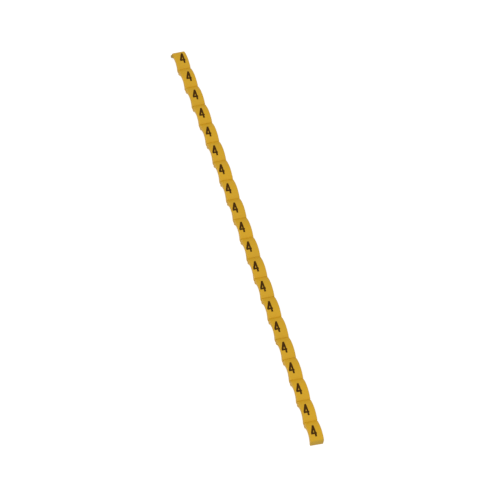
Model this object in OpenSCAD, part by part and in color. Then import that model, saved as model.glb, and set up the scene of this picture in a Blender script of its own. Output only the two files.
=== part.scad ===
// Break-off strip of clip-on cable markers, moulded in one piece.
// The strip runs along Y and the cable runs along X.
// The leg tips stand on z = 0, and the printed faces look up, with +Y at the top of each figure.

/* [Strip] */
// Number of markers in the strip
marker_count = 20; // [2:1:30]
// Distance from one marker to the next
pitch = 6.0; // [5.4:0.1:9]
// Sideways set of the strip's far end (+Y), which the soft moulding keeps
far_set = 1.05; // [0:0.05:1.5]
// Sideways set of the strip's near end (-Y)
near_set = 0.35; // [0:0.05:1.5]
// Length over which the far end curves away
far_curve_l = 42; // [20:1:60]
// Length over which the near end curves away
near_curve_l = 26; // [12:1:60]
// Length that the far end marker falls short of a full one
far_trim = 0.41; // [0:0.01:0.5]
// Length that the near end marker falls short of a full one
near_trim = 0.26; // [0:0.01:0.5]
// Rounding of the top edge at the strip's two ends
end_r = 0.8; // [0.3:0.1:1.2]

/* [Marker] */
// Width of a marker, measured along the cable
marker_w = 3.3; // [2:0.05:6]
// Height of the arched face at its crown
crown_h = 2.3; // [2.1:0.05:3]
// Height of the arched face at its two ends
shoulder_h = 1.43; // [1.35:0.01:1.8]
// Rounding of the face's long edges
edge_r = 0.2; // [0.05:0.05:0.35]
// Rounding of the upright corners at the strip's two ends
corner_r = 0.25; // [0.1:0.05:0.5]
// Rounding of the upright corners between two markers
joint_corner_r = 0.1; // [0.05:0.05:0.25]

/* [Cable seat] */
// Radius of the round seat that sits on the cable
seat_r = 2.6; // [2.3:0.05:2.8]
// Height of the seat's highest line above the leg tips
seat_h = 1.34; // [1:0.02:1.4]

/* [Gate stub] */
// Radius of the moulding gate's stub, on the left leg of the far end
stub_r = 0.5; // [0.3:0.05:0.6]
// Distance that the stub stands out of the leg's side
stub_proud = 0.3; // [0.1:0.05:0.5]
// Height of the stub's axis above the leg tips
stub_h = 0.85; // [0.6:0.05:0.9]

/* [Break-off joint] */
// Gap between two neighbouring markers
gap_w = 0.14; // [0.1:0.02:0.5]
// Thickness of the web that bridges the gap
web_t = 0.42; // [0.2:0.02:0.7]
// Depth of the web's top face below the shoulders
web_drop = 0.02; // [0.02:0.02:0.2]
// Distance from each end of the web to the marker's side
web_inset = 0.2; // [0.1:0.05:0.5]

/* [Hidden] */
$fn = 96;
body_l = pitch - gap_w;
strip_l = marker_count * pitch - gap_w;
half_l = strip_l / 2;
shoulder_drop = crown_h - shoulder_h;
face_r = (pow(body_l / 2, 2) + pow(shoulder_drop, 2)) / (2 * shoulder_drop);
face_axis_z = crown_h - face_r;
seat_axis_z = seat_h - seat_r;
web_l = marker_w - 2 * web_inset;
web_top = shoulder_h - web_drop;
// The strip bends one way only, and the stub stands out on that side.
x_centring = (max(far_set, near_set) + stub_proud) / 2;
y_centring = (far_trim - near_trim) / 2;

// Sideways place of the strip's middle line at the length y
function set_at(y) =
    y > half_l - far_curve_l ? -far_set * pow((y - half_l + far_curve_l) / far_curve_l, 2)
    : y < near_curve_l - half_l ? -near_set * pow((near_curve_l - half_l - y) / near_curve_l, 2)
    : 0;

function marker_y(i) = (i - (marker_count - 1) / 2) * pitch;

// Turn of a piece between the lengths y0 and y1, so that its two ends lie on the middle line
function turn_between(y0, y1) = -atan2(set_at(y1) - set_at(y0), y1 - y0);

module on_line(y, length) {
    y0 = max(y - length / 2, -half_l);
    y1 = min(y + length / 2, half_l);
    translate([x_centring + (set_at(y0) + set_at(y1)) / 2, y + y_centring, 0])
        rotate([0, 0, turn_between(y0, y1)])
            children();
}

// Bar under the arched face: a disc section whose rim has rounded edges, trimmed to the plan
module arched_block(y0, y1, r0, r1) {
    intersection() {
        translate([0, 0, face_axis_z])
            rotate([0, 90, 0])
                rotate_extrude($fn = 180)
                    rim_section();
        linear_extrude(crown_h + edge_r)
            plan_outline(y0, y1, r0, r1);
    }
}

module rim_section() {
    half_w = marker_w / 2;
    translate([0, -half_w])
        square([face_r - edge_r, marker_w]);
    translate([0, edge_r - half_w])
        square([face_r, marker_w - 2 * edge_r]);
    for (side = [-1, 1])
        translate([face_r - edge_r, side * (half_w - edge_r)])
            circle(edge_r);
}

// Outline of a marker from above, with corners of radius r0 at its end y0 and r1 at its end y1
module plan_outline(y0, y1, r0, r1) {
    half_w = marker_w / 2;
    translate([-half_w, y0 + r0])
        square([marker_w, y1 - y0 - r0 - r1]);
    translate([r0 - half_w, y0])
        square([marker_w - 2 * r0, 2 * r0]);
    translate([r1 - half_w, y1 - 2 * r1])
        square([marker_w - 2 * r1, 2 * r1]);
    for (side = [-1, 1]) {
        translate([side * (half_w - r0), y0 + r0])
            circle(r0);
        translate([side * (half_w - r1), y1 - r1])
            circle(r1);
    }
}

// Marker number i of the strip, counted from the near end
module marker(i) {
    first = i == 0;
    last = i == marker_count - 1;
    y0 = -body_l / 2 + (first ? near_trim : 0);
    y1 = body_l / 2 - (last ? far_trim : 0);
    color("goldenrod")
        difference() {
            union() {
                arched_block(y0, y1, first ? corner_r : joint_corner_r, last ? corner_r : joint_corner_r);
                if (last)
                    gate_stub(y1);
            }
            cable_seat();
            if (first)
                mirror([0, 1, 0])
                    end_waste(-y0);
            if (last)
                end_waste(y1);
        }
}

// What the rounding takes off the top edge of a free end that lies at y_end.
// The rounding is tangent to the end face and to the arched face.
module end_waste(y_end) {
    axis_y = y_end - end_r;
    axis_z = face_axis_z + sqrt(pow(face_r - end_r, 2) - pow(axis_y, 2));
    lean = asin(axis_y / (face_r - end_r));
    side = 2 * end_r;
    rotate([90, 0, 90])
        linear_extrude(2 * marker_w, center = true)
            translate([axis_y, axis_z])
                difference() {
                    polygon([[0, 0], side * [sin(lean), cos(lean)], [side, side], [side, 0]]);
                    circle(end_r);
                }
}

// Stub that is left on the leg's side where the strip was cut from its moulding gate
module gate_stub(y1) {
    translate([-marker_w / 2 - stub_proud, y1 - stub_r - corner_r / 2, stub_h])
        rotate([0, 90, 0])
            cylinder(r = stub_r, h = stub_proud + edge_r);
}

// Round seat, whose axis lies under the leg tips, so that the legs grow thinner downwards
module cable_seat() {
    translate([0, 0, seat_axis_z])
        rotate([0, 90, 0])
            cylinder(r = seat_r, h = 2 * marker_w, center = true);
}

// Web that holds two neighbours together until one is snapped off
module break_off_web() {
    color("goldenrod")
        translate([-web_l / 2, -gap_w / 2 - joint_corner_r, web_top - web_t])
            cube([web_l, gap_w + 2 * joint_corner_r, web_t]);
}

module marker_strip() {
    for (i = [0 : marker_count - 1])
        on_line(marker_y(i), pitch)
            marker(i);
    for (i = [0 : marker_count - 2])
        on_line(marker_y(i) + pitch / 2, pitch)
            break_off_web();
}

marker_strip();
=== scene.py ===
"""Looks of a break-off strip of clip-on cable markers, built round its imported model.

The strip lies along Y with its leg tips on z = 0, and the printed faces look up.
Sizes are in millimetres until they go into a mesh or a light, where MM makes them metres.
"""

import logging
import math
from collections.abc import Callable, Iterator, Sequence
from contextlib import contextmanager
from dataclasses import dataclass, field
from enum import Enum

import bmesh
import bpy
from mathutils import Matrix, Vector


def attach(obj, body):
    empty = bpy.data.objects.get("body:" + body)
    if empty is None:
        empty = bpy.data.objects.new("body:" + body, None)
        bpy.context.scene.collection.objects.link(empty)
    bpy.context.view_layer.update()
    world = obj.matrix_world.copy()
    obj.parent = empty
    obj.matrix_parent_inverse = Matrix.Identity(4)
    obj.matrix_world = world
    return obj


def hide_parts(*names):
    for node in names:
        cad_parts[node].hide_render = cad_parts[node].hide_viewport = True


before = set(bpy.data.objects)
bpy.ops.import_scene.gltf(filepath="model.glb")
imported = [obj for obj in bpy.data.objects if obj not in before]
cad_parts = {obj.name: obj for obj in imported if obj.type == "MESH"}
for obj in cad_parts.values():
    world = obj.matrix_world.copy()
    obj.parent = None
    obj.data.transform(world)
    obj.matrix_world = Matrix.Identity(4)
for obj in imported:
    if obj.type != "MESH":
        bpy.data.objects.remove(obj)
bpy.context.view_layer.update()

# Metres in a millimetre
MM = 0.001
# Distance, in millimetres, within which two places count as the same
SAME = 1e-4
# Distance, in millimetres, within which corners are merged
MERGE = 2 * SAME
# Sharpest bend between two faces that still looks smooth
SMOOTH_ANGLE = math.radians(32)
BODY = "root"
STRIP_NODE = "marker_strip"

Point = tuple[float, float]
Triple = tuple[float, float, float]
Colour = Triple
Shade = tuple[float, float, float, float]

WHITE: Shade = (1.0, 1.0, 1.0, 1.0)

log = logging.getLogger("cable_markers")


class End(Enum):
    """How one end of a marker is made."""

    JOINED = "held to its neighbour by a web"
    FREE = "rounded, at an end of the strip"


class Pick(Enum):
    """Kind of mesh part that a selection is made of."""

    VERTICES = "VERT"
    EDGES = "EDGE"
    FACES = "FACE"


class Cut(Enum):
    """What one closed piece does to another."""

    JOIN = "UNION"
    TAKE_AWAY = "DIFFERENCE"


def linear(srgb: Colour) -> Shade:
    """Turn a colour as a screen shows it into the values that a shader takes, by the sRGB curve.

    Args:
        srgb: Red, green and blue from 0 to 255.

    Returns:
        The linear colour, with an alpha of 1.
    """
    parts = [c / 255 for c in srgb]
    red, green, blue = (c / 12.92 if c <= 0.04045 else ((c + 0.055) / 1.055) ** 2.4 for c in parts)
    return (red, green, blue, 1.0)


def only(piece: bpy.types.Object) -> bpy.types.Object:
    """Leave one object selected and active.

    Args:
        piece: Object to select.

    Returns:
        The same object.
    """
    bpy.ops.object.select_all(action="DESELECT")
    piece.select_set(True)
    bpy.context.view_layer.objects.active = piece
    return piece


def start_piece(name: str) -> bpy.types.Object:
    """Name the primitive that was just added, and put its place into its mesh.

    Args:
        name: Name of the new piece and of its mesh.

    Returns:
        The new piece, with its object at the origin.
    """
    piece = only(bpy.context.active_object)
    piece.name = name
    piece.data.name = name
    bpy.ops.object.transform_apply(location=True, rotation=True, scale=True)
    return piece


@contextmanager
def edit_mode(piece: bpy.types.Object) -> Iterator[None]:
    """Keep one piece in edit mode for as long as the block runs.

    Args:
        piece: Piece to work on.

    Yields:
        Nothing, once the piece is selected and in edit mode.
    """
    only(piece)
    bpy.ops.object.mode_set(mode="EDIT")
    yield
    bpy.ops.object.mode_set(mode="OBJECT")


def select_where(piece: bpy.types.Object, kind: Pick, test: Callable[[Vector], bool]) -> None:
    """Select the parts of a piece in edit mode whose corners all pass a test.

    Args:
        piece: Piece that is in edit mode.
        kind: Kind of part to select.
        test: Says of a corner's place, in millimetres, whether it belongs to the selection.
    """
    bpy.ops.mesh.select_mode(type=kind.value)
    bpy.ops.mesh.select_all(action="DESELECT")
    shape = bmesh.from_edit_mesh(piece.data)
    parts = {Pick.VERTICES: shape.verts, Pick.EDGES: shape.edges, Pick.FACES: shape.faces}[kind]
    for part in parts:
        corners = [part] if kind is Pick.VERTICES else part.verts
        if all(test(corner.co / MM) for corner in corners):
            part.select_set(True)
    shape.select_flush_mode()
    bmesh.update_edit_mesh(piece.data)


def within(low: Point, high: Point) -> Callable[[Vector], bool]:
    """Make a test for places of a flat figure.

    Args:
        low: Lowest corner of the field that passes.
        high: Highest corner of that field.

    Returns:
        A test that says whether a place, in millimetres, lies in the field.
    """

    def test(place: Vector) -> bool:
        """Say whether a place lies in the field."""
        across = low[0] - SAME < place.x < high[0] + SAME
        return across and low[1] - SAME < place.y < high[1] + SAME

    return test


def apply_modifier(piece: bpy.types.Object, kind: str, **settings: object) -> None:
    """Add a modifier to a piece, set it and apply it.

    Args:
        piece: Piece that the modifier shapes.
        kind: Blender's name of the kind of modifier.
        **settings: Values of the modifier's own settings.
    """
    only(piece)
    modifier = piece.modifiers.new(kind.lower(), kind)
    for key, value in settings.items():
        setattr(modifier, key, value)
    bpy.ops.object.modifier_apply(modifier=modifier.name)


def combine(piece: bpy.types.Object, tool: bpy.types.Object, cut: Cut) -> None:
    """Join a closed piece with another, or take the other away from it.

    Args:
        piece: Piece that stays.
        tool: Piece that is used up.
        cut: What the tool does.
    """
    apply_modifier(piece, "BOOLEAN", operation=cut.value, object=tool, solver="EXACT")
    bpy.data.objects.remove(tool, do_unlink=True)


def copy_piece(source: bpy.types.Object, name: str) -> bpy.types.Object:
    """Copy a piece together with its mesh.

    Args:
        source: Piece to copy.
        name: Name of the copy and of its mesh.

    Returns:
        The copy, linked to the scene.
    """
    copy = source.copy()
    copy.data = source.data.copy()
    copy.name = name
    copy.data.name = name
    bpy.context.scene.collection.objects.link(copy)
    return copy


def reshape(piece: bpy.types.Object, move: Callable[[Vector], Vector]) -> None:
    """Move every corner of a piece.

    Args:
        piece: Piece whose mesh changes.
        move: Gives a corner's new place for its old one, both in millimetres.
    """
    for vertex in piece.data.vertices:
        vertex.co = move(vertex.co / MM) * MM
    piece.data.update()


@dataclass(frozen=True)
class Curve:
    """Sideways set that the soft strip keeps towards its two ends.

    Attributes:
        far_set: How far the far end stands to the side.
        near_set: How far the near end stands to the side.
        far_length: Length over which the far end curves away.
        near_length: Length over which the near end curves away.
    """

    far_set: float = 1.05
    near_set: float = 0.35
    far_length: float = 42.0
    near_length: float = 26.0

    def set_at(self, y: float, half_length: float) -> float:
        """Tell how far the strip's middle line stands off at one length.

        Args:
            y: Length from the strip's middle.
            half_length: Half the length of the untrimmed strip.

        Returns:
            The shift along X.
        """
        past_far = y - half_length + self.far_length
        past_near = self.near_length - half_length - y
        if past_far > 0:
            return -self.far_set * (past_far / self.far_length) ** 2
        if past_near > 0:
            return -self.near_set * (past_near / self.near_length) ** 2
        return 0.0


@dataclass(frozen=True)
class Row:
    """Where the markers lie: their number, their pitch and the strip's curved middle line.

    Attributes:
        count: Number of markers.
        pitch: Distance from one marker to the next.
        gap: Gap between two neighbours.
        far_trim: Length that the far end marker falls short of a full one.
        near_trim: Length that the near end marker falls short of a full one.
        stub_proud: How far the gate stub stands out of the far marker's side.
        curve: Bend of the middle line.
    """

    count: int = 20
    pitch: float = 6.0
    gap: float = 0.14
    far_trim: float = 0.41
    near_trim: float = 0.26
    stub_proud: float = 0.3
    curve: Curve = field(default_factory=Curve)

    @property
    def marker_length(self) -> float:
        """Length of a full marker along the strip."""
        return self.pitch - self.gap

    @property
    def half_length(self) -> float:
        """Half the length of the untrimmed strip."""
        return (self.count * self.pitch - self.gap) / 2

    @property
    def centring(self) -> Vector:
        """Shift that brings the middle of the strip's box to the origin."""
        sideways = (max(self.curve.far_set, self.curve.near_set) + self.stub_proud) / 2
        return Vector((sideways, (self.far_trim - self.near_trim) / 2, 0))

    def marker_y(self, number: int) -> float:
        """Place of a marker's middle along the uncentred strip, counted from the near end."""
        return (number - (self.count - 1) / 2) * self.pitch

    def place_at(self, y: float) -> Matrix:
        """Give the place and turn of what lies at one length of the middle line.

        Args:
            y: Length from the middle of the uncentred strip.

        Returns:
            The matrix that lays a piece there, in millimetres.
        """
        start = max(y - self.pitch / 2, -self.half_length)
        end = min(y + self.pitch / 2, self.half_length)
        start_set = self.curve.set_at(start, self.half_length)
        end_set = self.curve.set_at(end, self.half_length)
        turn = -math.atan2(end_set - start_set, end - start)
        spot = Vector(((start_set + end_set) / 2, y, 0)) + self.centring
        return Matrix.Translation(spot) @ Matrix.Rotation(turn, 4, "Z")


@dataclass(frozen=True)
class PaintedShadeMark:
    """Place on the plastic where shade is painted, as a darker tone that stands for the shade on that
    face.

    Attributes:
        middle: Middle of the mark.
        reach: Distance along each axis at which the mark has half faded.
        colour: Tone of the mark.
    """

    middle: Vector
    reach: Vector
    # colour: Darker tone of the painted shade.
    colour: Colour


@dataclass(frozen=True)
class Arch:
    """Arched face of a marker, a part of a round bar that lies across the strip.

    Attributes:
        length: Length of a marker along the strip.
        crown: Height of the face at its middle.
        shoulder: Height of the face at its two ends.
    """

    length: float
    crown: float = 2.3
    shoulder: float = 1.43

    @property
    def radius(self) -> float:
        """Radius of the face."""
        drop = self.crown - self.shoulder
        return ((self.length / 2) ** 2 + drop**2) / (2 * drop)

    @property
    def axis_z(self) -> float:
        """Height of the face's axis, which lies below the leg tips."""
        return self.crown - self.radius

    def height(self, y: float) -> float:
        """Height of the face at a length from the marker's middle."""
        return self.axis_z + math.sqrt(self.radius**2 - y**2)


@dataclass(frozen=True)
class Seat:
    """Round seat of the legs on the cable, whose axis lies below the leg tips.

    Attributes:
        radius: Radius of the seat.
        height: Height of its highest line above the leg tips.
    """

    radius: float = 2.6
    height: float = 1.34

    @property
    def axis_z(self) -> float:
        """Height of the seat's axis."""
        return self.height - self.radius

    @property
    def tip_y(self) -> float:
        """Length from the marker's middle to the inner edge of a leg tip."""
        return math.sqrt(self.radius**2 - self.axis_z**2)

    def at(self, angle: float) -> Point:
        """Point of the seat at an angle from its highest line."""
        return self.radius * math.sin(angle), self.axis_z + self.radius * math.cos(angle)

    def holds(self, y: float, z: float) -> bool:
        """Tell whether a point lies on the seat."""
        return abs(math.hypot(y, z - self.axis_z) - self.radius) < SAME


@dataclass(frozen=True)
class Web:
    """Thin web that holds two neighbours together until one is snapped off.

    Attributes:
        half_width: Distance from the marker's middle to each end of the web.
        top: Height of the web's top face.
        thickness: Thickness of the web.
    """

    half_width: float = 1.45
    top: float = 1.33
    thickness: float = 0.42

    def draw(self, piece: bpy.types.Object, end_y: float, half_pitch: float) -> None:
        """Draw half of the web out of an end face, open where its other half meets it.

        Args:
            piece: Marker that the web belongs to.
            end_y: Place of the end face, which is negative at the near end.
            half_pitch: Length from the marker's middle to the open end of the web.
        """
        bottom = self.top - self.thickness
        reach = math.copysign(half_pitch, end_y) - end_y
        cuts = (
            (Vector((0, 0, self.top)), (0, 0, 1)),
            (Vector((0, 0, bottom)), (0, 0, 1)),
            (Vector((self.half_width, 0, 0)), (1, 0, 0)),
            (Vector((-self.half_width, 0, 0)), (1, 0, 0)),
        )

        def on_end(corner: Vector) -> bool:
            """Say whether a corner lies on the end face."""
            return abs(corner.y - end_y) < SAME

        def on_web(corner: Vector) -> bool:
            """Say whether a corner lies on the web's part of the end face."""
            level = bottom - SAME < corner.z < self.top + SAME
            return on_end(corner) and level and abs(corner.x) < self.half_width + SAME

        with edit_mode(piece):
            for place, normal in cuts:
                select_where(piece, Pick.FACES, on_end)
                bpy.ops.mesh.bisect(plane_co=place * MM, plane_no=normal, threshold=SAME * MM)
            select_where(piece, Pick.FACES, on_web)
            bpy.ops.mesh.extrude_region_move(
                TRANSFORM_OT_translate={"value": (0, reach * MM, 0)}
            )
            bpy.ops.mesh.delete(type="FACE")


@dataclass(frozen=True)
class Stub:
    """Short round stub that is left where the strip was cut from its moulding gate.

    Attributes:
        proud: How far the stub stands out of the leg's side.
        radius: Radius of the stub.
        height: Height of its axis above the leg tips.
        root: Depth to which it is rooted in the leg.
        edge_radius: Rounding of its outer edge.
        rim: Width of the flat rim round its dimple.
        dish: Depth of the dimple, and width of its slope.
        sides: Number of flat sides that stand for the round.
        edge_steps: Number of steps round its outer edge.
        mark: Reach of the painted shade on the stub along each axis.
        tone: Darker tone painted on the stub, as painted shade.
    """

    proud: float
    radius: float = 0.5
    height: float = 0.85
    root: float = 0.2
    edge_radius: float = 0.05
    rim: float = 0.28
    dish: float = 0.05
    sides: int = 40
    edge_steps: int = 2
    # Painted shade on the stub: a darker tone stands for the shade on its side.
    mark: Triple = (0.5, 0.62, 0.6)
    tone: Colour = (146, 125, 62)

    def build(self, outside: float, y: float) -> bpy.types.Object:
        """Model the stub with its dimple.

        Args:
            outside: Place of its outer face along X.
            y: Place of its axis along Y.

        Returns:
            The stub as a closed piece.
        """
        depth = self.proud + self.root
        bpy.ops.object.select_all(action="DESELECT")
        bpy.ops.mesh.primitive_cylinder_add(
            vertices=self.sides,
            radius=self.radius * MM,
            depth=depth * MM,
            location=Vector((outside + depth / 2, y, self.height)) * MM,
            rotation=(0, math.pi / 2, 0),
        )
        piece = start_piece("gate_stub")
        with edit_mode(piece):
            select_where(piece, Pick.FACES, lambda corner: corner.x < outside + SAME)
            bpy.ops.mesh.bevel(
                offset=self.edge_radius * MM, segments=self.edge_steps, affect="EDGES"
            )
            select_where(piece, Pick.FACES, lambda corner: corner.x < outside + SAME)
            bpy.ops.mesh.inset(thickness=self.rim * MM, depth=0)
            bpy.ops.mesh.inset(thickness=self.dish * MM, depth=-self.dish * MM)
        return piece


@dataclass
class Moulding:
    """One-piece moulding: arched markers in a row, with webs between them.

    Attributes:
        row: Where the markers lie.
        arch: Their arched face.
        seat: Their seat on the cable.
        web: Web between two of them.
        stub: Stub on the left leg of the far end.
        width: Width of a marker along the cable.
        rim_radius: Rounding of the face's long edges.
        corner_radius: Rounding of the upright corners at the strip's two ends.
        joint_corner_radius: Rounding of the upright corners between two markers.
        shoulder_radius: Rounding of the face's edge at each joint.
        small_radius: Rounding of the leg tips and of the seat's edges.
        end_radius: Rounding of the top edge at the strip's two ends.
        end_shade_reach: Reach of the painted shade on the two end faces along each axis.
        end_painted_shade: Darker tone painted on the two end faces, as painted shade.
        arch_steps: Number of flat steps along the arched face.
        end_steps: Number of steps round the top edge of a free end.
        bevel_steps: Number of steps round each smaller rounding.
        room_sides: Number of sides of the round bar that keeps the stub off the cable.
    """

    row: Row
    arch: Arch
    seat: Seat
    web: Web
    stub: Stub
    width: float = 3.3
    rim_radius: float = 0.2
    corner_radius: float = 0.25
    joint_corner_radius: float = 0.1
    shoulder_radius: float = 0.07
    small_radius: float = 0.05
    end_radius: float = 0.8
    # Painted shade on the two end faces: a darker tone stands for the shade that falls on them.
    end_shade_reach: Triple = (6.0, 0.3, 4.0)
    end_painted_shade: Colour = (188, 150, 43)
    arch_steps: int = 18
    end_steps: int = 8
    bevel_steps: int = 4
    room_sides: int = 96

    @property
    def stub_x(self) -> float:
        """Place along X of the stub's outer face."""
        return -self.width / 2 - self.stub.proud

    def end_y(self, end: End, trim: float) -> float:
        """Length from a marker's middle to the flat of one of its ends."""
        return self.arch.length / 2 - (trim if end is End.FREE else 0.0)

    def outer_line(self, end_y: float, end: End) -> list[Point]:
        """List the points of half a marker's outside, from the leg tip towards the crown.

        Args:
            end_y: Length from the marker's middle to the flat of this end.
            end: How this end is made.

        Returns:
            Length and height of each point, without the crown itself.
        """
        if end is End.JOINED:
            turning = [(end_y, self.arch.height(end_y))]
        else:
            inner_radius = self.arch.radius - self.end_radius
            axis_y = end_y - self.end_radius
            axis_z = self.arch.axis_z + math.sqrt(inner_radius**2 - axis_y**2)
            turn = math.pi / 2 - math.asin(axis_y / inner_radius)
            angles = [turn * step / self.end_steps for step in range(self.end_steps + 1)]
            turning = [
                (
                    axis_y + self.end_radius * math.cos(angle),
                    axis_z + self.end_radius * math.sin(angle),
                )
                for angle in angles
            ]
        leg = [(end_y, 0.0), (end_y, turning[0][1] / 2)]
        lean = math.asin(turning[-1][0] / self.arch.radius)
        half_steps = self.arch_steps // 2
        face = []
        for step in range(1, half_steps):
            y = self.arch.radius * math.sin(lean * (1 - step / half_steps))
            face.append((y, self.arch.height(y)))
        return leg + turning + face

    def seat_line(self, outer: list[Point]) -> list[Point]:
        """List the seat's points that lie across from the points of the outside.

        Args:
            outer: Points of half a marker's outside, from the leg tip upwards.

        Returns:
            As many points of the seat, starting at the leg tip.
        """
        tip_angle = math.asin(self.seat.tip_y / self.seat.radius)
        bearings = [math.atan2(y, z - self.seat.axis_z) for y, z in outer]
        return [self.seat.at(tip_angle * bearing / bearings[0]) for bearing in bearings]

    def add_section(self, name: str, outer: list[Point], inner: list[Point]) -> bpy.types.Object:
        """Lay a band of faces between the seat and the outside, and draw it to the width.

        Args:
            name: Name of the piece.
            outer: Points along the outside.
            inner: As many points along the seat.

        Returns:
            The closed section as a piece.
        """
        steps = len(outer) - 1
        side = 2.0
        bpy.ops.object.select_all(action="DESELECT")
        bpy.ops.mesh.primitive_grid_add(x_subdivisions=steps, y_subdivisions=1, size=side * MM)
        piece = start_piece(name)

        def to_section(corner: Vector) -> Vector:
            """Bring a corner of the plain grid to its point of the section."""
            along = round((corner.x / side + 0.5) * steps)
            y, z = outer[along] if corner.y > 0 else inner[along]
            return Vector((-self.width / 2, y, z))

        reshape(piece, to_section)
        with edit_mode(piece):
            bpy.ops.mesh.select_all(action="SELECT")
            bpy.ops.mesh.extrude_region_move(
                TRANSFORM_OT_translate={"value": (self.width * MM, 0, 0)}
            )
            bpy.ops.mesh.select_all(action="SELECT")
            bpy.ops.mesh.normals_make_consistent(inside=False)
        return piece

    def rounding(self, a: Vector, b: Vector) -> float:
        """Tell how far an edge of the plain section is rounded.

        Args:
            a: One end of the edge, in millimetres.
            b: Its other end.

        Returns:
            The radius, or 0 for an edge that isn't rounded.
        """
        seated = [self.seat.holds(p.y, p.z) for p in (a, b)]
        at_tip = max(a.z, b.z) < SAME
        at_joint = abs(abs(a.y) - self.arch.length / 2) < SAME
        if abs(a.x - b.x) > SAME:
            if at_tip:
                return self.small_radius
            on_shoulder = at_joint and abs(a.z - self.arch.shoulder) < SAME
            return self.shoulder_radius if on_shoulder else 0.0
        if all(seated) or at_tip:
            return self.small_radius
        if any(seated):
            return 0.0
        if abs(a.y - b.y) < SAME:
            if at_joint:
                return self.joint_corner_radius
            tip_room = abs(a.y) - self.seat.tip_y - 2 * self.small_radius
            return min(self.corner_radius, tip_room)
        return self.rim_radius

    def round_edges(self, piece: bpy.types.Object) -> None:
        """Round the edges of a plain section, each by its own radius.

        Args:
            piece: Section that add_section made.
        """
        mesh = piece.data
        weights = mesh.attributes.new("bevel_weight_edge", "FLOAT", "EDGE")
        for edge in mesh.edges:
            a, b = (mesh.vertices[number].co / MM for number in edge.vertices)
            weights.data[edge.index].value = self.rounding(a, b) / self.corner_radius
        apply_modifier(
            piece,
            "BEVEL",
            width=self.corner_radius * MM,
            segments=self.bevel_steps,
            limit_method="WEIGHT",
            use_clamp_overlap=False,
        )

    def stub_y(self, end_y: float) -> float:
        """Length from a marker's middle to the stub's axis."""
        return end_y - self.stub.radius - self.corner_radius / 2

    def add_stub(self, piece: bpy.types.Object, end_y: float) -> None:
        """Set the stub of the moulding gate on the left leg of a free end.

        Args:
            piece: Closed marker that takes the stub.
            end_y: Length from the marker's middle to the flat of this end.
        """
        stub = self.stub.build(self.stub_x, self.stub_y(end_y))
        bpy.ops.object.select_all(action="DESELECT")
        bpy.ops.mesh.primitive_cylinder_add(
            vertices=self.room_sides,
            radius=(self.seat.radius + self.small_radius) * MM,
            depth=2 * self.width * MM,
            location=(0, 0, self.seat.axis_z * MM),
            rotation=(0, math.pi / 2, 0),
        )
        combine(stub, start_piece("cable_room"), Cut.TAKE_AWAY)
        combine(piece, stub, Cut.JOIN)

    def build_marker(self, name: str, near: End, far: End) -> bpy.types.Object:
        """Model one marker round the origin, with half a web at each joined end.

        Args:
            name: Name of the piece.
            near: How the end towards -Y is made.
            far: How the end towards +Y is made.

        Returns:
            The marker as one mesh, open only across its webs.
        """
        near_y = self.end_y(near, self.row.near_trim)
        far_y = self.end_y(far, self.row.far_trim)
        near_outer = self.outer_line(near_y, near)
        far_outer = self.outer_line(far_y, far)
        outer = [(-y, z) for y, z in near_outer] + [(0.0, self.arch.crown)] + far_outer[::-1]
        inner = [(-y, z) for y, z in self.seat_line(near_outer)] + [(0.0, self.seat.height)]
        inner += self.seat_line(far_outer)[::-1]
        piece = self.add_section(name, outer, inner)
        self.round_edges(piece)
        if far is End.FREE:
            self.add_stub(piece, far_y)
        if near is End.JOINED:
            self.web.draw(piece, -near_y, self.row.pitch / 2)
        if far is End.JOINED:
            self.web.draw(piece, far_y, self.row.pitch / 2)
        return piece

    def lay_marker(self, piece: bpy.types.Object, number: int) -> None:
        """Lay a marker in the row, with its web ends on the planes between the markers.

        Args:
            piece: Marker that was modelled round the origin.
            number: Its number, counted from the near end.
        """
        half_pitch = self.row.pitch / 2
        y = self.row.marker_y(number)
        body = self.row.place_at(y)

        def laid(corner: Vector) -> Vector:
            """Give a corner's place in the row, which a web's end shares with its neighbour."""
            if abs(abs(corner.y) - half_pitch) > SAME:
                return body @ corner
            joint = self.row.place_at(y + math.copysign(half_pitch, corner.y))
            return joint @ Vector((corner.x, 0, corner.z))

        reshape(piece, laid)

    def build(self) -> bpy.types.Object:
        """Model the whole strip.

        Returns:
            The strip as one closed mesh.
        """
        strip = self.build_marker("moulded_strip", End.FREE, End.JOINED)
        middle = self.build_marker("middle_marker", End.JOINED, End.JOINED)
        last = self.build_marker("last_marker", End.JOINED, End.FREE)
        copies = [copy_piece(middle, f"marker_{n + 1:02d}") for n in range(1, self.row.count - 1)]
        bpy.data.objects.remove(middle, do_unlink=True)
        markers = [strip, *copies, last]
        for number, marker in enumerate(markers):
            self.lay_marker(marker, number)
        only(strip)
        for marker in markers:
            marker.select_set(True)
        bpy.ops.object.join()
        with edit_mode(strip):
            bpy.ops.mesh.select_all(action="SELECT")
            bpy.ops.mesh.remove_doubles(threshold=MERGE * MM)
        only(strip)
        bpy.ops.object.shade_smooth_by_angle(angle=SMOOTH_ANGLE)
        apply_modifier(strip, "WEIGHTED_NORMAL", keep_sharp=True)
        return strip

    def painted_shade_marks(self) -> list[PaintedShadeMark]:
        """List the places where shade is painted: the strip's two end faces and the gate stub.

        Returns:
            The painted shade of the near end, the far end and the stub.
        """
        near_y = -self.end_y(End.FREE, self.row.near_trim)
        far_y = self.end_y(End.FREE, self.row.far_trim)
        first = self.row.place_at(self.row.marker_y(0))
        last = self.row.place_at(self.row.marker_y(self.row.count - 1))
        stub = Vector((self.stub_x, self.stub_y(far_y), self.stub.height))
        # Painted shade: darker tones on the two end faces and on the stub stand for the shade that
        # falls on them.
        end_reach = Vector(self.end_shade_reach)
        return [
            PaintedShadeMark(first @ Vector((0, near_y, 0)), end_reach, self.end_painted_shade),
            PaintedShadeMark(last @ Vector((0, far_y, 0)), end_reach, self.end_painted_shade),
            PaintedShadeMark(last @ stub, Vector(self.stub.mark), self.stub.tone),
        ]

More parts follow.
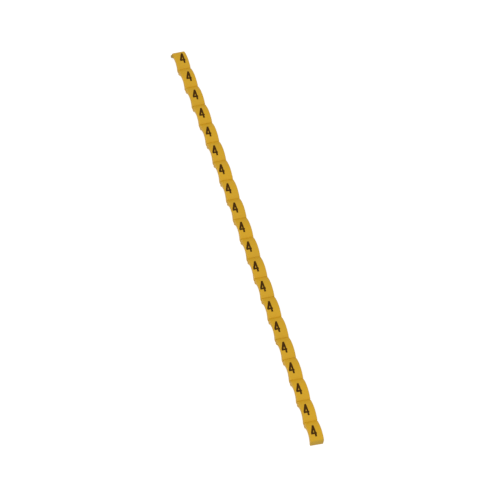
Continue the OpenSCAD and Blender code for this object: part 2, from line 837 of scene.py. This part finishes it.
    def dress(self, strip: bpy.types.Object, plastic: bpy.types.Material) -> None:
        """Give the strip its plastic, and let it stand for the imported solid.

        Args:
            strip: Finished strip.
            plastic: Material of the strip.
        """
        strip.data.materials.clear()
        strip.data.materials.append(plastic)
        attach(strip, BODY)
        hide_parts(STRIP_NODE)


@dataclass
class Printing:
    """The plain figure that is printed on every marker, in a film that follows the arch.

    Attributes:
        row: Where the markers lie.
        arch: Face that the figures lie on.
        row_x: Place of the row of figures along X.
        stem_left: Left edge of the upright stem.
        stem_right: Right edge of the stem.
        foot: Lowest edge of the figure.
        top: Highest edge of the figure.
        bar_bottom: Lower edge of the level bar.
        bar_top: Upper edge of the bar.
        bar_left: Left end of the bar, where the slanting stroke starts.
        nib: Length by which the bar passes the stem.
        stroke: Width of the slanting stroke, measured along the bar.
        peak_x: Place where the slanting stroke's outer edge reaches the top.
        corner_radius: Rounding of the strokes' corners.
        film: Height of the ink above the plastic.
        film_root: Depth to which the ink goes into the plastic.
        slices: Number of slices that let the figure bend over the arch.
        corner_steps: Number of steps round each corner.
    """

    row: Row
    arch: Arch
    row_x: float = 0.022
    stem_left: float = 0.02
    stem_right: float = 0.47
    foot: float = -1.57
    top: float = 1.6
    bar_bottom: float = -0.92
    bar_top: float = -0.48
    bar_left: float = -0.79
    nib: float = 0.13
    stroke: float = 0.54
    peak_x: float = 0.06
    corner_radius: float = 0.05
    film: float = 0.012
    film_root: float = 0.01
    slices: int = 16
    corner_steps: int = 3

    @property
    def slope(self) -> float:
        """Rise of the slanting stroke for each step to the right."""
        return (self.top - self.bar_top) / (self.peak_x - self.bar_left)

    @property
    def inner_x(self) -> float:
        """Place along X where the slanting stroke's inner edge leaves the bar."""
        return self.bar_left + self.stroke

    @property
    def join_y(self) -> float:
        """Height in the figure where that inner edge meets the stem."""
        return self.bar_top + (self.stem_left - self.inner_x) * self.slope

    def push(self, piece: bpy.types.Object, low: Point, high: Point, way: Point) -> None:
        """Extrude the edge that spans a small field of the flat figure.

        Args:
            piece: Figure that is in edit mode.
            low: Lowest corner of the field.
            high: Highest corner of the field.
            way: How far the new edge lies from the old one.
        """
        select_where(piece, Pick.EDGES, within(low, high))
        bpy.ops.mesh.extrude_edges_move(
            TRANSFORM_OT_translate={"value": (way[0] * MM, way[1] * MM, 0)}
        )

    def draw_strokes(self, piece: bpy.types.Object) -> None:
        """Draw the stem, the bar and the slanting stroke from the foot of the stem.

        Args:
            piece: Foot of the stem, in edit mode.
        """
        left, right = self.stem_left, self.stem_right
        low, high, join = self.bar_bottom, self.bar_top, self.join_y
        self.push(piece, (left, low), (right, low), (0, high - low))
        self.push(piece, (left, high), (right, high), (0, join - high))
        self.push(piece, (left, join), (right, join), (0, self.top - join))
        select_where(piece, Pick.VERTICES, within((left, self.top), (left, self.top)))
        bpy.ops.transform.translate(value=((self.peak_x - left) * MM, 0, 0))
        self.push(piece, (right, low), (right, high), (self.nib, 0))
        self.push(piece, (left, low), (left, high), (self.inner_x - left, 0))
        self.push(piece, (self.inner_x, low), (self.inner_x, high), (-self.stroke, 0))
        run = left - self.inner_x
        self.push(piece, (self.bar_left, high), (self.inner_x, high), (run, join - high))
        bpy.ops.mesh.select_all(action="SELECT")
        bpy.ops.mesh.remove_doubles(threshold=MERGE * MM)
        peak = within((self.peak_x, self.top), (self.peak_x, self.top))
        stroke_end = within((self.bar_left + run, join), (left, join))
        select_where(piece, Pick.VERTICES, lambda corner: peak(corner) or stroke_end(corner))
        bpy.ops.mesh.edge_face_add()

    def round_corners(self, piece: bpy.types.Object) -> None:
        """Round the square corners of the strokes, as ink draws them in.

        Args:
            piece: Flat figure, in edit mode.
        """
        nib_x = self.stem_right + self.nib
        corners = (
            (self.stem_left, self.foot),
            (self.stem_right, self.foot),
            (self.stem_right, self.top),
            (nib_x, self.bar_bottom),
            (nib_x, self.bar_top),
            (self.bar_left, self.bar_bottom),
        )
        tests = [within(corner, corner) for corner in corners]
        select_where(piece, Pick.VERTICES, lambda place: any(test(place) for test in tests))
        bpy.ops.mesh.bevel(
            offset=self.corner_radius * MM, segments=self.corner_steps, affect="VERTICES"
        )

    def build_figure(self) -> bpy.types.Object:
        """Model the flat figure round the origin, as a film of ink.

        Returns:
            The figure, with z = 0 on the plastic's surface.
        """
        width = self.stem_right - self.stem_left
        length = self.bar_bottom - self.foot
        middle = Vector((self.stem_left + width / 2, self.foot + length / 2, 0))
        bpy.ops.object.select_all(action="DESELECT")
        bpy.ops.mesh.primitive_plane_add(size=MM, location=middle * MM)
        bpy.context.active_object.scale = (width, length, 1)
        piece = start_piece("figure")
        with edit_mode(piece):
            self.draw_strokes(piece)
            self.round_corners(piece)
            for step in range(1, self.slices):
                y = self.foot + (self.top - self.foot) * step / self.slices
                bpy.ops.mesh.select_all(action="SELECT")
                bpy.ops.mesh.bisect(
                    plane_co=(0, y * MM, 0), plane_no=(0, 1, 0), threshold=SAME * MM
                )
            bpy.ops.mesh.select_all(action="SELECT")
            bpy.ops.mesh.normals_make_consistent(inside=False)
        thickness = self.film + self.film_root
        apply_modifier(
            piece,
            "SOLIDIFY",
            thickness=thickness * MM,
            offset=(self.film - self.film_root) / thickness,
        )
        return piece

    def lay_figure(self, piece: bpy.types.Object, number: int) -> None:
        """Bend a flat figure onto the arched face of one marker.

        Args:
            piece: Flat figure round the origin.
            number: Number of the marker, counted from the near end.
        """
        y = self.row.marker_y(number)
        body = self.row.place_at(y)
        to_marker = body.inverted()
        middle = Vector((self.row_x, y + self.row.centring.y, 0))

        def laid(corner: Vector) -> Vector:
            """Give a corner's place on the arched face."""
            spot = to_marker @ (middle + Vector((corner.x, corner.y, 0)))
            angle = math.asin(spot.y / self.arch.radius)
            reach = self.arch.radius + corner.z
            height = self.arch.axis_z + reach * math.cos(angle)
            return body @ Vector((spot.x, reach * math.sin(angle), height))

        reshape(piece, laid)
        only(piece)
        bpy.ops.object.shade_smooth_by_angle(angle=SMOOTH_ANGLE)

    def build(self) -> list[bpy.types.Object]:
        """Model the figures of all the markers.

        Returns:
            One piece for each marker, from the near end to the far end.
        """
        figure = self.build_figure()
        pieces = [copy_piece(figure, f"print_{n + 1:02d}") for n in range(self.row.count)]
        bpy.data.objects.remove(figure, do_unlink=True)
        for number, piece in enumerate(pieces):
            self.lay_figure(piece, number)
        return pieces

    def dress(self, pieces: list[bpy.types.Object], ink: bpy.types.Material) -> None:
        """Give every figure its ink.

        Args:
            pieces: Finished figures.
            ink: Material of the figures.
        """
        for piece in pieces:
            piece.data.materials.clear()
            piece.data.materials.append(ink)
            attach(piece, BODY)


class NodeBench:
    """Adds nodes to one node tree and joins them."""

    def __init__(self, tree: bpy.types.NodeTree) -> None:
        """Keep the tree that the nodes go into."""
        self.tree = tree

    def add(
        self, kind: str, inputs: dict[str | int, object] | None = None, **settings: object
    ) -> bpy.types.Node:
        """Add one node.

        Args:
            kind: Blender's name of the kind of node.
            inputs: Values or joined outputs for the node's inputs, by their names.
            **settings: Values of the node's own settings.

        Returns:
            The new node.
        """
        node = self.tree.nodes.new(kind)
        for key, value in settings.items():
            setattr(node, key, value)
        for name, value in (inputs or {}).items():
            if isinstance(value, bpy.types.NodeSocket):
                self.tree.links.new(value, node.inputs[name])
            else:
                node.inputs[name].default_value = value
        return node


def start_group(
    name: str, inputs: dict[str, str], outputs: dict[str, str]
) -> tuple[NodeBench, bpy.types.Node]:
    """Start a shader node group with named sockets.

    Args:
        name: Name of the group.
        inputs: Kind of each input socket, by its name.
        outputs: Kind of each output socket, by its name.

    Returns:
        The bench that works on the group, and the node that brings its inputs.
    """
    tree = bpy.data.node_groups.new(name, "ShaderNodeTree")
    for way, sockets in (("INPUT", inputs), ("OUTPUT", outputs)):
        for socket, kind in sockets.items():
            tree.interface.new_socket(socket, in_out=way, socket_type=f"NodeSocket{kind}")
    bench = NodeBench(tree)
    return bench, bench.add("NodeGroupInput")


@dataclass
class Effects:
    """Shader node groups that the plastic and the ink share.

    Attributes:
        grain_detail: Detail of the grain's noise.
        grain_roughness: Roughness of the grain's noise.
        drift_detail: Detail of the noise that lays out the patches of tone.
        drift_start: Value of that noise at which the other tone starts to show.
        drift_end: Value at which the other tone is full.
        mark_full: Share of a mark's reach at which its tone is still full.
        mark_gone: Share of the reach at which its tone is gone.
    """

    grain_detail: float = 3.0
    grain_roughness: float = 0.6
    drift_detail: float = 2.0
    drift_start: float = 0.3
    drift_end: float = 0.7
    mark_full: float = 0.7
    mark_gone: float = 1.3

    def __post_init__(self) -> None:
        """Build each group once."""
        self.grain = self.build_grain()
        self.drift = self.build_drift()
        self.mark = self.build_painted_shade()

    def build_grain(self) -> bpy.types.NodeTree:
        """Build the fine grain that a mould leaves, as a height.

        Returns:
            A group with Place and Size inputs and a Height output.
        """
        bench, given = start_group(
            "mould_grain", {"Place": "Vector", "Size": "Float"}, {"Height": "Float"}
        )
        per_metre = bench.add("ShaderNodeMath", {0: 1.0, 1: given.outputs["Size"]}, operation="DIVIDE")
        noise = bench.add(
            "ShaderNodeTexNoise",
            {
                "Vector": given.outputs["Place"],
                "Scale": per_metre.outputs[0],
                "Detail": self.grain_detail,
                "Roughness": self.grain_roughness,
            },
        )
        bench.add("NodeGroupOutput", {"Height": noise.outputs[0]})
        return bench.tree

    def build_drift(self) -> bpy.types.NodeTree:
        """Build the slow change of tone from place to place.

        Returns:
            A group that mixes two colours in soft patches, and also puts out their mask.
        """
        bench, given = start_group(
            "tone_drift",
            {
                "Place": "Vector",
                "Patch": "Float",
                "Colour": "Color",
                "Other Colour": "Color",
            },
            {"Colour": "Color", "Mask": "Float"},
        )
        per_metre = bench.add("ShaderNodeMath", {0: 1.0, 1: given.outputs["Patch"]}, operation="DIVIDE")
        noise = bench.add(
            "ShaderNodeTexNoise",
            {
                "Vector": given.outputs["Place"],
                "Scale": per_metre.outputs[0],
                "Detail": self.drift_detail,
            },
        )
        mask = bench.add(
            "ShaderNodeMapRange",
            {
                "Value": noise.outputs[0],
                "From Min": self.drift_start,
                "From Max": self.drift_end,
            },
        )
        mixed = bench.add(
            "ShaderNodeMixRGB",
            {
                "Fac": mask.outputs[0],
                "Color1": given.outputs["Colour"],
                "Color2": given.outputs["Other Colour"],
            },
        )
        bench.add("NodeGroupOutput", {"Colour": mixed.outputs[0], "Mask": mask.outputs[0]})
        return bench.tree

    def build_painted_shade(self) -> bpy.types.NodeTree:
        """Build a soft patch of painted shade, which changes the colour inside an egg-shaped space.

        Returns:
            A group that puts out the colour, changed to the mark's tone round its middle.
        """
        bench, given = start_group(
            "painted_shade_mark",
            {
                "Place": "Vector",
                "Middle": "Vector",
                "Reach": "Vector",
                "Colour": "Color",
                "Tone": "Color",
            },
            {"Colour": "Color"},
        )
        offset = bench.add(
            "ShaderNodeVectorMath",
            {0: given.outputs["Place"], 1: given.outputs["Middle"]},
            operation="SUBTRACT",
        )
        share = bench.add(
            "ShaderNodeVectorMath",
            {0: offset.outputs[0], 1: given.outputs["Reach"]},
            operation="DIVIDE",
        )
        distance = bench.add("ShaderNodeVectorMath", {0: share.outputs[0]}, operation="LENGTH")
        mask = bench.add(
            "ShaderNodeMapRange",
            {
                "Value": distance.outputs["Value"],
                "From Min": self.mark_gone,
                "From Max": self.mark_full,
            },
            interpolation_type="SMOOTHSTEP",
        )
        mixed = bench.add(
            "ShaderNodeMixRGB",
            {
                "Fac": mask.outputs[0],
                "Color1": given.outputs["Colour"],
                "Color2": given.outputs["Tone"],
            },
        )
        bench.add("NodeGroupOutput", {"Colour": mixed.outputs[0]})
        return bench.tree


@dataclass(frozen=True)
class Finish:
    """Solid matt finish, with soft patches of tone and a fine grain.

    Attributes:
        name: Name of the material.
        colour: Main tone.
        other_colour: Tone of the patches.
        patch: Size of the patches.
        rough: Roughness of the main tone.
        other_rough: Roughness of the patches.
        shine: Strength of the gloss.
        grain: Size of the grain.
        grain_depth: Depth of the grain.
    """

    name: str
    colour: Colour
    other_colour: Colour
    patch: float
    rough: float
    other_rough: float
    shine: float
    grain: float
    grain_depth: float

    def build(self, effects: Effects, marks: Sequence[PaintedShadeMark] = ()) -> bpy.types.Material:
        """Build the finish as a material.

        Args:
            effects: Node groups that the finishes share.
            marks: Places where shade is painted on the finish, as a darker tone.

        Returns:
            The material.
        """
        material = bpy.data.materials.new(self.name)
        material.use_nodes = True
        material.node_tree.nodes.clear()
        bench = NodeBench(material.node_tree)
        place = bench.add("ShaderNodeTexCoord").outputs["Object"]
        drift = bench.add("ShaderNodeGroup", node_tree=effects.drift)
        grain = bench.add("ShaderNodeGroup", node_tree=effects.grain)
        for group, size, socket in ((drift, self.patch, "Patch"), (grain, self.grain, "Size")):
            bench.tree.links.new(place, group.inputs["Place"])
            group.inputs[socket].default_value = size * MM
        drift.inputs["Colour"].default_value = linear(self.colour)
        drift.inputs["Other Colour"].default_value = linear(self.other_colour)
        tone = drift.outputs["Colour"]
        # Painted shade: each mark darkens the tone inside its egg-shaped space, standing for shade on
        # the end faces and the gate stub.
        for mark in marks:
            cut = bench.add(
                "ShaderNodeGroup",
                {
                    "Place": place,
                    "Middle": mark.middle * MM,
                    "Reach": mark.reach * MM,
                    "Colour": tone,
                    "Tone": linear(mark.colour),
                },
                node_tree=effects.mark,
            )
            tone = cut.outputs["Colour"]
        rough = bench.add(
            "ShaderNodeMapRange",
            {
                "Value": drift.outputs["Mask"],
                "To Min": self.rough,
                "To Max": self.other_rough,
            },
        )
        bump = bench.add(
            "ShaderNodeBump",
            {"Height": grain.outputs["Height"], "Distance": self.grain_depth * MM},
        )
        skin = bench.add(
            "ShaderNodeBsdfPrincipled",
            {
                "Base Color": tone,
                "Roughness": rough.outputs[0],
                "Specular IOR Level": self.shine,
                "Normal": bump.outputs[0],
            },
        )
        bench.add("ShaderNodeOutputMaterial", {"Surface": skin.outputs[0]})
        return material


def seen_ray(bench: NodeBench) -> bpy.types.NodeSocket:
    """Add the nodes that tell rays that carry a picture from those that carry light.

    Args:
        bench: Bench of the material or the world.

    Returns:
        An output of 1 for camera, glossy and transmission rays.
    """
    path = bench.add("ShaderNodeLightPath").outputs
    glossy = bench.add(
        "ShaderNodeMath",
        {0: path["Is Camera Ray"], 1: path["Is Glossy Ray"]},
        operation="MAXIMUM",
    )
    every = bench.add(
        "ShaderNodeMath",
        {0: glossy.outputs[0], 1: path["Is Transmission Ray"]},
        operation="MAXIMUM",
    )
    return every.outputs[0]


@dataclass(frozen=True)
class FloorFinish:
    """Pale floor, which looks white to the camera and still takes the strip's shadow.

    Attributes:
        colour: Colour of the board as it lights the strip.
        glow: Even white that the camera sees on it.
        seen_share: Colour of the board under that white, where the shadow shows.
    """

    colour: Colour = (232, 232, 230)
    glow: float = 0.8
    seen_share: Colour = (148, 148, 148)

    def build(self) -> bpy.types.Material:
        """Build the floor's material.

        Returns:
            The material, lit from above as a plain pale board.
        """
        material = bpy.data.materials.new("pale_floor")
        material.use_nodes = True
        material.node_tree.nodes.clear()
        bench = NodeBench(material.node_tree)
        board = bench.add("ShaderNodeBsdfDiffuse", {"Color": linear(self.colour)})
        seen_board = bench.add("ShaderNodeBsdfDiffuse", {"Color": linear(self.seen_share)})
        glow = bench.add("ShaderNodeEmission", {"Strength": self.glow})
        seen = bench.add("ShaderNodeAddShader", {0: seen_board.outputs[0], 1: glow.outputs[0]})
        mixed = bench.add(
            "ShaderNodeMixShader",
            {0: seen_ray(bench), 1: board.outputs[0], 2: seen.outputs[0]},
        )
        bench.add("ShaderNodeOutputMaterial", {"Surface": mixed.outputs[0]})
        return material


@dataclass
class Studio:
    """Floor, soft light and camera.

    Attributes:
        floor_side: Side of the square floor.
        floor_drop: Distance from the leg tips down to the floor.
        sky: Strength of the even light from all round.
        backdrop: Strength of the white that the camera sees past the floor.
        lamp_power: Power of the lamp, in watts.
        lamp_side: Side of the square lamp.
        lamp_place: Place of the lamp, which faces the origin.
        aim: Point that the camera looks at.
        distance: Distance from that point to the camera.
        azimuth: Turn of the camera round the strip, in degrees.
        elevation: Height of the camera above the floor, in degrees.
        roll: Turn of the picture, in degrees.
        lens: Focal length of the camera.
    """

    floor_side: float = 6000.0
    floor_drop: float = 0.01
    sky: float = 0.64
    backdrop: float = 1.0
    lamp_power: float = 4.7
    lamp_side: float = 700.0
    lamp_place: Triple = (-350.0, -270.0, 800.0)
    aim: Triple = (0.761, -2.606, 0.0)
    distance: float = 719.17
    azimuth: float = -26.664
    elevation: float = 54.251
    roll: float = 12.368
    lens: float = 210.62

    def add_floor(self) -> None:
        """Lay the floor under the leg tips."""
        bpy.ops.object.select_all(action="DESELECT")
        bpy.ops.mesh.primitive_plane_add(
            size=self.floor_side * MM, location=(0, 0, -self.floor_drop * MM)
        )
        floor = start_piece("floor")
        floor.data.materials.append(FloorFinish().build())

    def add_sky(self) -> None:
        """Fill the room with even white light."""
        world = bpy.data.worlds.new("studio")
        bpy.context.scene.world = world
        world.use_nodes = True
        world.node_tree.nodes.clear()
        bench = NodeBench(world.node_tree)
        light = bench.add("ShaderNodeBackground", {"Strength": self.sky})
        backdrop = bench.add("ShaderNodeBackground", {"Strength": self.backdrop})
        for background in (light, backdrop):
            background.inputs["Color"].default_value = WHITE
        mixed = bench.add(
            "ShaderNodeMixShader",
            {0: seen_ray(bench), 1: light.outputs[0], 2: backdrop.outputs[0]},
        )
        bench.add("ShaderNodeOutputWorld", {"Surface": mixed.outputs[0]})

    def add_lamp(self) -> None:
        """Hang one wide soft lamp over the strip."""
        spot = Vector(self.lamp_place)
        bpy.ops.object.light_add(type="AREA", location=spot * MM)
        lamp = bpy.context.active_object
        lamp.name = "soft_lamp"
        lamp.rotation_euler = spot.to_track_quat("Z", "Y").to_euler()
        lamp.data.shape = "SQUARE"
        lamp.data.size = self.lamp_side * MM
        lamp.data.energy = self.lamp_power

    def add_camera(self) -> None:
        """Set the camera up at the photograph's viewing angle."""
        turn, rise, roll = (math.radians(v) for v in (self.azimuth, self.elevation, self.roll))
        flat = math.cos(rise)
        back = Vector((math.sin(turn) * flat, -math.cos(turn) * flat, math.sin(rise)))
        level = Vector((math.cos(turn), math.sin(turn), 0))
        upright = back.cross(level)
        right = level * math.cos(roll) + upright * math.sin(roll)
        up = upright * math.cos(roll) - level * math.sin(roll)
        bpy.ops.object.camera_add()
        camera = bpy.context.active_object
        camera.name = "camera"
        camera.data.lens = self.lens
        place = Matrix((right, up, back)).transposed().to_4x4()
        place.translation = (Vector(self.aim) + back * self.distance) * MM
        camera.matrix_world = place
        bpy.context.scene.camera = camera

    def build(self) -> None:
        """Set up everything that isn't part of the strip."""
        self.add_floor()
        self.add_sky()
        self.add_lamp()
        self.add_camera()
        bpy.context.scene.view_settings.view_transform = "Standard"


PLASTIC = Finish(
    name="yellow_plastic",
    colour=(203, 155, 18),
    other_colour=(196, 152, 29),
    patch=9.0,
    rough=0.5,
    other_rough=0.6,
    shine=0.25,
    grain=0.16,
    grain_depth=0.006,
)
INK = Finish(
    name="black_ink",
    colour=(63, 40, 12),
    other_colour=(72, 46, 15),
    patch=0.6,
    rough=0.55,
    other_rough=0.7,
    shine=0.02,
    grain=0.12,
    grain_depth=0.004,
)


def report(piece: bpy.types.Object) -> None:
    """Log how many triangles a finished piece has, and its size.

    Args:
        piece: Finished piece.
    """
    count = sum(len(face.vertices) - 2 for face in piece.data.polygons)
    places = [corner.co for corner in piece.data.vertices]
    low, high = (Vector(edge(axis) for axis in zip(*places)) for edge in (min, max))
    size = " x ".join(f"{side / MM:.2f}" for side in high - low)
    log.info("%s: %d triangles, %s mm", piece.name, count, size)


def main() -> None:
    """Build the strip, its printing and the studio."""
    logging.basicConfig(level=logging.INFO, format="%(message)s")
    row = Row()
    arch = Arch(row.marker_length)
    effects = Effects()
    moulding = Moulding(row, arch, Seat(), Web(), Stub(row.stub_proud))
    strip = moulding.build()
    moulding.dress(strip, PLASTIC.build(effects, moulding.painted_shade_marks()))
    printing = Printing(row, arch)
    figures = printing.build()
    printing.dress(figures, INK.build(effects))
    for piece in (strip, *figures):
        report(piece)
    Studio().build()


if __name__ == "__main__":
    main()
